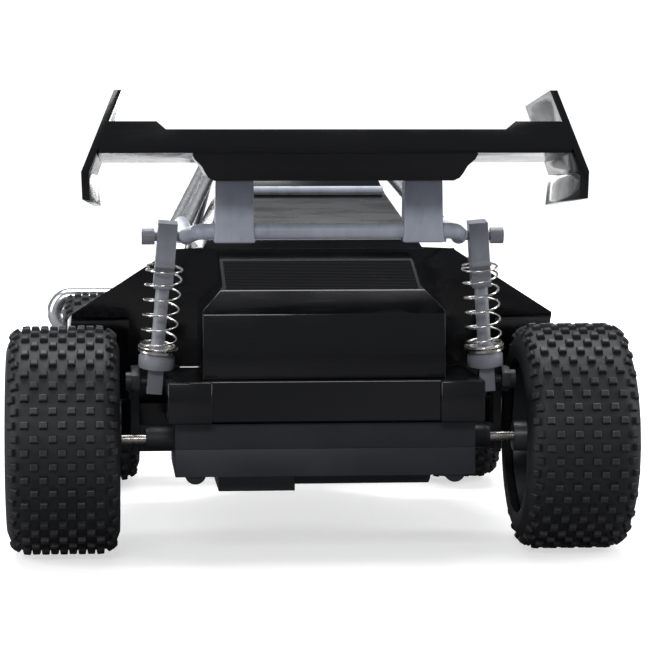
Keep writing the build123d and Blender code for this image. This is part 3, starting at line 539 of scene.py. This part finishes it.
def edit_edges(piece, test):
    """Opens the piece in edit mode with only the edges selected that pass test(end, end)."""
    opened(piece, "EDGE")
    corners = piece.data.vertices
    for edge in piece.data.edges:
        edge.select = test(corners[edge.vertices[0]].co, corners[edge.vertices[1]].co)
    bpy.ops.object.mode_set(mode="EDIT")


def close_edit():
    bpy.ops.object.mode_set(mode="OBJECT")


print("helpers", edit_faces.__name__, edit_edges.__name__)

# %% [markdown]
# A piece ends with its modifiers applied, smooth faces with sharp creases, its finish, the body that it
# rides on and the CAD nodes that it stands for.


# %% Finishing a piece
def modified(piece, kind, **settings):
    """Adds a modifier and applies it at once."""
    only(piece)
    made = piece.modifiers.new(kind.lower(), kind)
    for key, value in settings.items():
        setattr(made, key, value)
    bpy.ops.object.modifier_apply(modifier=made.name)
    return piece


def finished(piece, slot, body, *replaced, crease=35):
    settled(piece)
    bpy.ops.object.shade_smooth_by_angle(angle=math.radians(crease))
    dress(piece, slot)
    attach(piece, body)
    if replaced:
        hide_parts(*replaced)
    print(piece.name, len(piece.data.polygons), "faces")


# %% [markdown]
# ## Softened mouldings
# No moulding has a knife edge. The CAD shapes are exact but sharp, so the big visible ones get a copy whose
# triangles are merged into whole faces, and whose edges are rounded by a Bevel modifier. The small radius
# is what catches the light along every edge of a black car.


# %% Round the edges of the large mouldings
SAME_PLACE = 0.002 * MM
FLAT_ENOUGH = math.radians(0.6)
SHARP = 30
LARGE_ROUNDING = 0.6


def softened(node, millimetres):
    piece = bpy.data.objects.new(node + "_moulding", frame["nodes"][node].data.copy())
    bpy.context.collection.objects.link(piece)
    edit_faces(piece)
    bpy.ops.mesh.remove_doubles(threshold=SAME_PLACE)
    bpy.ops.mesh.dissolve_limited(angle_limit=FLAT_ENOUGH)
    close_edit()
    modified(piece, "BEVEL", width=millimetres * MM, segments=3 if millimetres > LARGE_ROUNDING else 2,
             limit_method="ANGLE", angle_limit=math.radians(SHARP), harden_normals=False)
    finished(piece, slot_of[node], body_of[node], node, crease=SHARP)


roundings = {
    "rear_cover": 0.9, "rear_bumper": 0.5, "rear_wing": 0.45, "wing_supports": 0.8, "body_shell": 0.5,
    "cabin": 0.5, "gearbox_lid": 0.15, "gearbox_base": 0.15, "front_shock_tower": 0.4, "chassis_tub": 0.3,
    "bumper_mount": 0.4, "battery_door": 0.3, "front_shock_bodies": 0.25, "steering_lever": 0.2,
    "tie_bar": 0.2,
}
paired_roundings = {
    "rear_rim": 0.3, "front_rim": 0.3, "front_arm": 0.3, "rear_shock_rod": 0.25, "rear_shock_body": 0.25,
    "front_shock_rod": 0.25,
}
for stem, millimetres in paired_roundings.items():
    for side in ("left", "right"):
        roundings[f"{stem}_{side}"] = millimetres
for node, millimetres in roundings.items():
    softened(node, millimetres)

# %% [markdown]
# ## Tyres
# The tyres carry low square blocks in rows that alternate, six across and then five, with one more on each
# shoulder. A bump pattern would leave the outline smooth, so every block is real. The carcass comes first:
# a cylinder whose ends are opened to the rim, whose shoulders are bevelled round, and which then gets a
# wall by the Solidify modifier.


# %% Carcass
block_height = 1.4 * MM
bead_radius = wheel_radius - 11.5 * MM
shoulder = 6.5 * MM
wall = 2.4 * MM


def carcass(name, width):
    radius = wheel_radius - block_height
    piece = added(name, bpy.ops.mesh.primitive_cylinder_add, vertices=104, radius=radius, depth=width,
                  rotation=(0, math.radians(90), 0))
    settled(piece)
    edit_faces(piece, lambda middle_, normal: abs(normal.x) > 0.9)
    bpy.ops.mesh.inset(thickness=radius - bead_radius)
    bpy.ops.mesh.delete(type="FACE")
    close_edit()
    edit_edges(piece, lambda a, b: abs(a.x - b.x) < 1e-6 and min(a.yz.length, b.yz.length) > radius - 1e-5)
    bpy.ops.mesh.bevel(offset=shoulder - 0.8 * MM, segments=6, affect="EDGES")
    close_edit()
    edit_faces(piece, lambda middle_, normal: abs(normal.x) > 0.99)
    bpy.ops.mesh.inset(thickness=1.5 * MM, depth=0.35 * MM)
    close_edit()
    return modified(piece, "SOLIDIFY", thickness=wall, offset=-1.0)


print("shoulder", shoulder, "bead radius", round(bead_radius, 4))

# %% [markdown]
# One block is shaped from a cube whose top is drawn in and bevelled, and whose hidden bottom is opened.
# Copies of it stand across the tread, each one leaning with the round shoulder. The spin operator repeats
# a wide and a narrow row round the axle.

# %% Tread blocks
ROW_PAIRS = 26
PITCH = 5.7 * MM
SHOULDER_BLOCK = 2.1 * MM
BLOCK_ROOT = 0.2 * MM


def block_at(x, width):
    """Where a block stands on the rounded tread: its height above the axle and its lean."""
    over = max(0.0, abs(x) - (width / 2 - shoulder))
    lean = math.asin(min(0.98, over / shoulder))
    return wheel_radius - shoulder + shoulder * math.cos(lean) - block_height, math.copysign(lean, x)


def tread_row(block, width, places, turn):
    row = []
    for number, x in enumerate(places):
        copy = twin(block, f"block_{number}")
        height, lean = block_at(x, width)
        stand = Matrix.Translation((x, 0, height)) @ Matrix.Rotation(lean, 4, "Y")
        copy.matrix_world = Matrix.Rotation(turn, 4, "X") @ stand
        row.append(settled(copy))
    return joined(row)


def tread_block():
    block = added("block", bpy.ops.mesh.primitive_cube_add, size=1,
                  location=(0, 0, block_height / 2 - BLOCK_ROOT),
                  scale=(2.7 * MM, 2.5 * MM, block_height + 2 * BLOCK_ROOT))
    settled(block)
    edit_faces(block, lambda middle_, normal: normal.z > 0.9)
    bpy.ops.transform.resize(value=(0.82, 0.78, 1))
    bpy.ops.mesh.bevel(offset=0.25 * MM, segments=1, affect="EDGES")
    close_edit()
    edit_faces(block, lambda middle_, normal: normal.z < -0.9)
    bpy.ops.mesh.delete(type="FACE")
    close_edit()
    return block


def tread(name, width, across):
    block = tread_block()
    wide = [(i - (across - 1) / 2) * PITCH for i in range(across)]
    narrow = [(i - (across - 2) / 2) * PITCH for i in range(across - 1)]
    edge = width / 2 - SHOULDER_BLOCK
    rows = joined([tread_row(block, width, wide, 0.0),
                   tread_row(block, width, [-edge] + narrow + [edge], math.pi / ROW_PAIRS)])
    rows.name = name
    edit_faces(rows)
    bpy.ops.mesh.spin(steps=ROW_PAIRS - 1, angle=2 * math.pi * (ROW_PAIRS - 1) / ROW_PAIRS, dupli=True,
                      center=(0, 0, 0), axis=(1, 0, 0))
    close_edit()
    bpy.data.objects.remove(block)
    return rows


print("rows round a tyre", 2 * ROW_PAIRS)

# %% [markdown]
# The left and the right tyre are alike, so each end of the car has one model, which is copied to both
# sides and then removed.


# %% Put the tyres on
def tyre_pair(end, across):
    low, high = box(f"{end}_tyre_right")
    width, hub = high.x - low.x, middle(f"{end}_tyre_right")
    model = joined([carcass(f"{end}_tyre", width), tread(f"{end}_tread", width, across)])
    for side, sign in (("right", 1), ("left", -1)):
        node = f"{end}_tyre_{side}"
        copy = twin(model, node + "_knobbed", (hub.x * sign, hub.y, hub.z))
        finished(copy, "tyre_rubber", body_of[node], node, crease=32)
    bpy.data.objects.remove(model)


tyre_pair("rear", 6)
tyre_pair("front", 5)

# %% [markdown]
# ## Coil springs
# A compression spring is a wire on a helix whose last turn at each end lies flat, so that it sits square on
# its seat. The Screw modifier draws the turns from one small circle. Its rings come out in order, so
# each ring is then shifted along the axis: slowly in the two end turns, and quickly between them.


# %% Wind a spring
RINGS_PER_TURN, ROUND_THE_WIRE = 28, 8
END_TURN_RISE = 2.6


def spring(name, coil_radius, wire_radius, length, turns):
    piece = added(name, bpy.ops.mesh.primitive_circle_add, vertices=ROUND_THE_WIRE, radius=wire_radius,
                  location=(coil_radius, 0, 0), rotation=(math.radians(90), 0, 0))
    settled(piece)
    steps = RINGS_PER_TURN * turns
    modified(piece, "SCREW", axis="Z", angle=2 * math.pi * turns, steps=steps, render_steps=steps,
             screw_offset=0.0, use_merge_vertices=False, use_smooth_shade=True)
    flat = END_TURN_RISE * wire_radius
    free = length - 2 * wire_radius - 2 * flat
    rings = len(piece.data.vertices) // ROUND_THE_WIRE
    for index, corner in enumerate(piece.data.vertices):
        turn = (index // ROUND_THE_WIRE) / (rings - 1) * turns
        ends = min(turn, 1.0) + max(turn - (turns - 1), 0.0)
        corner.co.z += wire_radius + flat * ends + free * min(max(turn - 1, 0.0), turns - 2) / (turns - 2)
    edit_edges(piece, lambda a, b: False)
    bpy.ops.mesh.select_non_manifold()
    bpy.ops.mesh.edge_face_add()
    bpy.ops.mesh.select_all(action="SELECT")
    bpy.ops.mesh.normals_make_consistent(inside=False)
    close_edit()
    return piece


print("rings in a turn", RINGS_PER_TURN)

# %% [markdown]
# A spring lies along the stroke of its shock, from its upper seat down.

# %% Put the springs on
WIRE_RADIUS = 0.36 * MM
REAR_SPRING, FRONT_SPRING = 26.2 * MM, 32.9 * MM


def stroke_axis(end, side):
    return Vector(joint_of[f"{end}_stroke_{side}"]["axis"]).normalized()


def put_spring(end, side, body, coil_radius, length, turns):
    node, axis = f"{end}_spring_{side}", stroke_axis(end, side)
    piece = spring(node + "_coil", coil_radius, WIRE_RADIUS, length, turns)
    piece.rotation_euler = (-axis).to_track_quat("Z", "Y").to_euler()
    piece.location = middle(node) + axis * length / 2
    finished(piece, "spring_steel", body, node, crease=60)
    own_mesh(piece)


for side in ("left", "right"):
    put_spring("rear", side, f"rear_shock_{side}", 5.5 * MM, REAR_SPRING, 7)
    put_spring("front", side, "chassis", 5.0 * MM, FRONT_SPRING, 8)

# %% [markdown]
# ## Ribs on the cover
# The slope of the rear cover carries a band of fine ribs. One rib is a long cube whose top is drawn in, and
# an Array modifier repeats it up the slope.

# %% Ribs on the cover
RIBS = 19
cover_low, cover_high = box("rear_cover")
slope_low = Vector((0, cover_low.y + 9.4 * MM, cover_high.z - 9.5 * MM))
slope_high = Vector((0, cover_low.y + 31.0 * MM, cover_high.z - 2.3 * MM))
slope = (slope_high - slope_low).normalized()
rib = added("cover_ribs", bpy.ops.mesh.primitive_cube_add, size=1, scale=(60 * MM, 0.55 * MM, 0.5 * MM))
settled(rib)
edit_faces(rib, lambda middle_, normal: normal.z > 0.9)
bpy.ops.transform.resize(value=(0.995, 0.45, 1))
close_edit()
rib_spacing = (slope_high - slope_low).length / (RIBS - 1)
modified(rib, "ARRAY", count=RIBS, use_relative_offset=False, use_constant_offset=True,
         constant_offset_displace=(0, rib_spacing, 0))
rib.rotation_euler.x = math.atan2(slope.z, slope.y)
rib.location = slope_low
finished(rib, "gloss_black", "chassis")

# %% [markdown]
# ## Spring seats
# Each rear spring stands on a collar. On it lies a loose bright washer with a turned groove, which is a
# short cylinder: its ends are inset and bridged into a bore, its side is inset and pushed in, and its rims
# are bevelled.


# %% Washers under the springs
def washer(name, radius, bore, height):
    piece = added(name, bpy.ops.mesh.primitive_cylinder_add, vertices=64, radius=radius, depth=height)
    edit_faces(piece, lambda middle_, normal: abs(normal.z) > 0.9)
    bpy.ops.mesh.inset(thickness=radius - bore)
    bpy.ops.mesh.bridge_edge_loops()
    close_edit()
    edit_faces(piece, lambda middle_, normal: abs(normal.z) < 0.2 and middle_.xy.length > radius * 0.9)
    bpy.ops.mesh.inset(thickness=height * 0.3, depth=-height * 0.16)
    close_edit()
    return modified(piece, "BEVEL", width=0.12 * MM, segments=2, limit_method="ANGLE",
                    angle_limit=math.radians(50))


for side in ("left", "right"):
    axis = stroke_axis("rear", side)
    ring = washer(f"rear_spring_washer_{side}", 6.3 * MM, 3.0 * MM, 1.3 * MM)
    ring.rotation_euler = axis.to_track_quat("Z", "Y").to_euler()
    ring.location = middle(f"rear_spring_{side}") - axis * (REAR_SPRING / 2 + 0.2 * MM)
    finished(ring, "steel", f"rear_rod_{side}", crease=40)

# %% [markdown]
# ## Bead rings
# Where the tyre meets the rim, the rim has a thin raised bead. It is a torus whose inner half is drawn
# wider, so that it runs into the rim.


# %% Bead rings
def bead_ring(name, radius, widening):
    piece = added(name, bpy.ops.mesh.primitive_torus_add, major_segments=96, minor_segments=10,
                  major_radius=radius, minor_radius=0.55 * MM, rotation=(0, math.radians(90), 0))
    settled(piece)
    edit_faces(piece, lambda middle_, normal: middle_.yz.length < radius)
    bpy.ops.transform.resize(value=(widening, 1.0, 1.0))
    close_edit()
    return piece


for end in ("rear", "front"):
    outer_face = box(f"{end}_tyre_right")[1].x
    hub = middle(f"{end}_tyre_right")
    for side, sign in (("right", 1), ("left", -1)):
        ring = bead_ring(f"{end}_bead_ring_{side}", bead_radius + 0.35 * MM, 1.6)
        ring.location = ((outer_face - 2.1 * MM) * sign, hub.y, hub.z)
        finished(ring, "rim_plastic", body_of[f"{end}_tyre_{side}"])

# %% [markdown]
